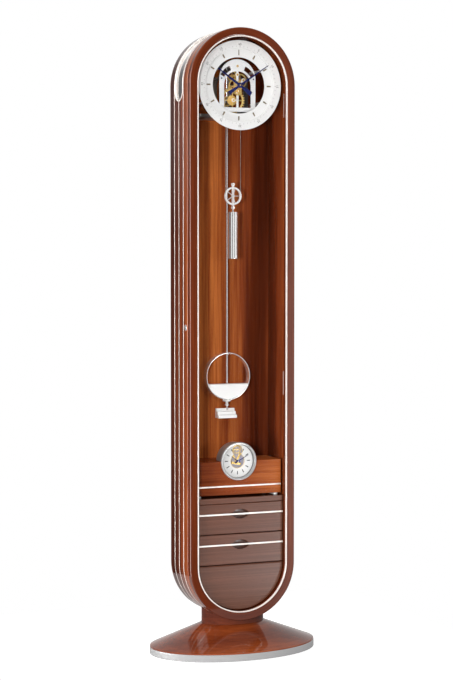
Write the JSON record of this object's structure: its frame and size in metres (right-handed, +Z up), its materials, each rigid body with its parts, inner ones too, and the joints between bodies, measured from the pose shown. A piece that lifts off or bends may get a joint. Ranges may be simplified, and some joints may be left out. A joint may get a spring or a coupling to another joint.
{
  "type": "grandfather clock",
  "caption": "Tall round-ended longcase clock on an elliptical pedestal, with glazed door, skeleton movement, pendulum, weight, drawers and shelf clock.",
  "frame": {"origin": "centre of the pedestal's footprint, on the floor", "axes": "+Z up along the clock's height, -Y to the front where the door and dial face, +X to the hinge side of the door"},
  "size_m": [0.558, 0.368, 2.0009],
  "materials": {
    "lacquered_wood": "high gloss lacquer over red-brown figured veneer",
    "dark_wood": "high gloss lacquer over dark red-brown veneer",
    "rubber": "matte",
    "steel": "fine satin",
    "polished_steel": "polished",
    "brass": "gilt, polished",
    "blued_steel": "blued and polished",
    "dial_white": "silvered white, fine satin",
    "steel_cable": "stranded wire",
    "clear_glass": "clear"
  },
  "bodies": {
    "case": {"base_pad": "rubber", "base_plate": "polished_steel", "base_cone": "lacquered_wood", "neck": "dark_wood", "case_shell": "lacquered_wood", "back_panel": "dark_wood", "inlay_front": "polished_steel", "inlay_middle": "polished_steel", "inlay_rear": "polished_steel", "skylight_bezel": "polished_steel", "skylight_pane": "clear_glass", "hinge_case_upper": "polished_steel", "hinge_case_lower": "polished_steel", "minute_ring": "dial_white", "hour_ring": "dial_white", "seat_board": "steel", "front_plate": "steel", "rear_plate": "steel", "wound_cable": "steel_cable", "suspension_cock": "steel", "beat_scale": "steel", "weight_cable": "steel_cable", "cabinet": "lacquered_wood", "standoff_left": "polished_steel", "standoff_right": "polished_steel", "shelf_box": "lacquered_wood", "strip_box": "polished_steel", "shelf_case": "polished_steel", "shelf_dial": "dial_white"},
    "door": {"door_frame": "dark_wood", "door_trim": "polished_steel", "door_pane": "clear_glass", "lock_strike": "steel", "hinge_door_upper": "polished_steel", "hinge_door_lower": "polished_steel"},
    "lock": {"lock_barrel": "polished_steel"},
    "minute_arbor": {"centre_wheel": "brass", "minute_hand": "blued_steel"},
    "hour_pipe": {"hour_wheel": "brass", "hour_hand": "blued_steel"},
    "motion": {"motion_wheel": "brass"},
    "great": {"great_wheel": "brass"},
    "third": {"third_wheel": "brass"},
    "escape": {"escape_wheel": "brass"},
    "drum": {"winding_drum": "brass"},
    "pallets": {"anchor": "steel"},
    "pendulum": {"pendulum_rod": "polished_steel", "bob": "polished_steel"},
    "nut": {"rating_nut": "polished_steel"},
    "hanging_weight": {"weight": "polished_steel", "stirrup": "polished_steel"},
    "sheave": {"pulley": "brass"},
    "upper_drawer": {"drawer_upper": "lacquered_wood", "strip_upper": "polished_steel"},
    "lower_drawer": {"drawer_lower": "lacquered_wood", "strip_lower": "polished_steel"},
    "shelf_minute": {"shelf_minute_hand": "blued_steel"},
    "shelf_hour": {"shelf_hour_hand": "blued_steel"},
    "balance": {"balance_wheel": "brass"}
  },
  "joints": [
    {"name": "door_hinge", "type": "hinge", "parent": "case", "child": "door", "pos_m": [0.1839, -0.0637, 1], "axis": [0, 0, 1], "range_deg": [0, 110]},
    {"name": "lock_turn", "type": "hinge", "parent": "case", "child": "lock", "pos_m": [-0.17, -0.05, 1.0523], "axis": [1, 0, 0], "range_deg": [-90, 0]},
    {"name": "minute_spin", "type": "hinge", "parent": "case", "child": "minute_arbor", "pos_m": [0, -0.03, 1.8203], "axis": [0, 1, 0], "continuous": true},
    {"name": "hour_spin", "type": "hinge", "parent": "case", "child": "hour_pipe", "pos_m": [0, -0.052, 1.8203], "axis": [0, 1, 0], "continuous": true},
    {"name": "motion_spin", "type": "hinge", "parent": "case", "child": "motion", "pos_m": [0, -0.047, 1.8029], "axis": [0, 1, 0], "continuous": true},
    {"name": "great_spin", "type": "hinge", "parent": "case", "child": "great", "pos_m": [-0.014, -0.033, 1.77414], "axis": [0, 1, 0], "continuous": true},
    {"name": "third_spin", "type": "hinge", "parent": "case", "child": "third", "pos_m": [0.02025, -0.01, 1.83816], "axis": [0, 1, 0], "continuous": true},
    {"name": "escape_spin", "type": "hinge", "parent": "case", "child": "escape", "pos_m": [0, -0.01, 1.85529], "axis": [0, 1, 0], "continuous": true},
    {"name": "weight_drop", "type": "slide", "parent": "case", "child": "hanging_weight", "axis": [0, 0, -1], "range_m": [-0.15, 0.56], "deforming": ["weight_cable"]},
    {"name": "pulley_spin", "type": "hinge", "parent": "hanging_weight", "child": "sheave", "pos_m": [0, -0.004, 1.4713], "axis": [0, 1, 0], "continuous": true},
    {"name": "drum_spin", "type": "hinge", "parent": "case", "child": "drum", "pos_m": [-0.014, -0.01, 1.77414], "axis": [0, 1, 0], "continuous": true},
    {"name": "pendulum_swing", "type": "hinge", "parent": "case", "child": "pendulum", "pos_m": [0, 0.047, 1.8823], "axis": [0, 1, 0], "range_deg": [-2, 2]},
    {"name": "anchor_swing", "type": "hinge", "parent": "case", "child": "pallets", "pos_m": [0, 0, 1.8823], "axis": [0, 1, 0], "range_deg": [-2, 2]},
    {"name": "nut_turn", "type": "hinge", "parent": "pendulum", "child": "nut", "pos_m": [0, 0.047, 0.802], "axis": [0, 0, 1], "continuous": true},
    {"name": "upper_drawer_slide", "type": "slide", "parent": "case", "child": "upper_drawer", "axis": [0, -1, 0], "range_m": [0, 0.1]},
    {"name": "lower_drawer_slide", "type": "slide", "parent": "case", "child": "lower_drawer", "axis": [0, -1, 0], "range_m": [0, 0.1]},
    {"name": "shelf_minute_spin", "type": "hinge", "parent": "case", "child": "shelf_minute", "pos_m": [0, -0.047, 0.6206], "axis": [0, 1, 0], "continuous": true},
    {"name": "shelf_hour_spin", "type": "hinge", "parent": "case", "child": "shelf_hour", "pos_m": [0, -0.045, 0.6206], "axis": [0, 1, 0], "continuous": true},
    {"name": "balance_swing", "type": "hinge", "parent": "case", "child": "balance", "pos_m": [0, -0.036, 0.6566], "axis": [0, 1, 0], "range_deg": [-150, 150]}
  ],
  "couplings": [
    {"joint": "hour_spin", "follows": "minute_spin", "ratio": 0.083333},
    {"joint": "motion_spin", "follows": "minute_spin", "ratio": -0.33333},
    {"joint": "great_spin", "follows": "minute_spin", "ratio": -0.2},
    {"joint": "third_spin", "follows": "minute_spin", "ratio": -8},
    {"joint": "escape_spin", "follows": "minute_spin", "ratio": 60},
    {"joint": "anchor_swing", "follows": "pendulum_swing", "ratio": 1},
    {"joint": "pulley_spin", "follows": "weight_drop", "rad_per_m": -38.023},
    {"joint": "drum_spin", "follows": "weight_drop", "rad_per_m": -162.6},
    {"joint": "shelf_hour_spin", "follows": "shelf_minute_spin", "ratio": 0.083333}
  ]
}
